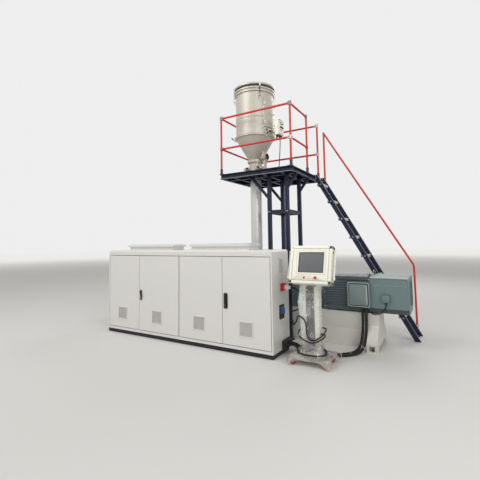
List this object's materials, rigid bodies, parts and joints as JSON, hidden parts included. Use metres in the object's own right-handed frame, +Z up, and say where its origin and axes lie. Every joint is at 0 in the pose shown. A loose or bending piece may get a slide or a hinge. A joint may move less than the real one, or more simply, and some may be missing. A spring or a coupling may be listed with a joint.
{
  "type": "plastic extruder",
  "caption": "Single-screw plastic extruder with a four-door control cabinet, hopper dryer on a railed platform, stair and operator panel.",
  "frame": {"origin": "on the floor, under the feed throat on the screw axis, at the bed's underside", "axes": "+X along the screw axis from the feed throat towards the motor, +Y away from the operator's side, +Z up"},
  "size_m": [5.385, 2.291, 4.389],
  "materials": {
    "cabinet_white": "semi-gloss powder coat",
    "plinth_black": "satin",
    "galvanised": "dull zinc",
    "black_plastic": "moulded",
    "signal_red": "moulded",
    "plug_white": "moulded",
    "knob_blue": "moulded",
    "bed_white": "semi-gloss paint",
    "motor_blue_grey": "hammered enamel",
    "machined_steel": "turned",
    "navy_paint": "gloss paint",
    "rail_red": "gloss paint",
    "tread_steel": "worn chequer plate",
    "stainless": "brushed",
    "hopper_cream": "semi-gloss paint",
    "panel_cream": "powder coat",
    "screen_grey": "glass over a dark display",
    "handle_white": "moulded",
    "cable_black": "matt sheath"
  },
  "bodies": {
    "machine": {"cabinet_plinth": "plinth_black", "cabinet_floor": "cabinet_white", "cabinet_sides": "cabinet_white", "cabinet_back": "cabinet_white", "cabinet_roof": "cabinet_white", "cabinet_centre_post": "cabinet_white", "mounting_plates": "galvanised", "roof_vents": "cabinet_white", "power_socket": "signal_red", "power_plug": "plug_white", "isolator_plate": "black_plastic", "side_vent": "cabinet_white", "cable_gland_box": "black_plastic", "extruder_bed": "bed_white", "end_foot": "bed_white", "gearbox": "motor_blue_grey", "motor_frame": "motor_blue_grey", "motor_hood": "motor_blue_grey", "terminal_box": "motor_blue_grey", "feed_throat": "motor_blue_grey", "barrel": "machined_steel", "heating_zones": "stainless", "cooling_blowers": "motor_blue_grey", "tower_columns": "navy_paint", "tower_beams": "navy_paint", "deck_frame": "navy_paint", "deck_plate": "navy_paint", "guard_posts": "rail_red", "guard_rails": "rail_red", "stair_stringers": "navy_paint", "stair_treads": "tread_steel", "stair_handrail": "rail_red", "feed_pipe": "stainless", "slide_gate": "hopper_cream", "hopper_cone": "hopper_cream", "hopper_body": "hopper_cream", "hopper_lid": "hopper_cream", "hopper_latches": "stainless", "dryer_blower": "hopper_cream", "dryer_control_box": "panel_cream", "panel_base": "panel_cream", "panel_castors": "signal_red", "panel_column": "panel_cream", "panel_swivel": "black_plastic", "plug_cable": "cable_black", "panel_cable": "cable_black", "floor_conduits": "cable_black", "junction_cable": "cable_black", "dryer_cable": "cable_black"},
    "door_1": {"door_1": "cabinet_white"},
    "door_2": {"door_2": "cabinet_white", "door_2_handle": "black_plastic"},
    "door_3": {"door_3": "cabinet_white"},
    "door_4": {"door_4": "cabinet_white", "door_4_handle": "black_plastic"},
    "isolator_knob": {"isolator_knob": "knob_blue"},
    "panel_head": {"panel_box": "panel_cream", "panel_screen": "screen_grey", "panel_side_handles": "handle_white", "panel_buttons": "signal_red"}
  },
  "joints": [
    {"name": "door_1_hinge", "type": "hinge", "parent": "machine", "child": "door_1", "pos_m": [-2.282, -1.3, 0.7], "axis": [0, 0, -1], "range_deg": [0, 90]},
    {"name": "door_2_hinge", "type": "hinge", "parent": "machine", "child": "door_2", "pos_m": [-0.713, -1.3, 0.7], "axis": [0, 0, 1], "range_deg": [0, 90]},
    {"name": "door_3_hinge", "type": "hinge", "parent": "machine", "child": "door_3", "pos_m": [-0.657, -1.3, 0.7], "axis": [0, 0, -1], "range_deg": [0, 90]},
    {"name": "door_4_hinge", "type": "hinge", "parent": "machine", "child": "door_4", "pos_m": [0.872, -1.3, 0.7], "axis": [0, 0, 1], "range_deg": [0, 90]},
    {"name": "isolator_turn", "type": "hinge", "parent": "machine", "child": "isolator_knob", "pos_m": [0.93, -1.035, 0.595], "axis": [1, 0, 0], "range_deg": [0, 90]},
    {"name": "panel_swivel_turn", "type": "hinge", "parent": "machine", "child": "panel_head", "pos_m": [1.395, -1.15, 1], "axis": [0, 0, 1], "range_deg": [-90, 90]}
  ]
}
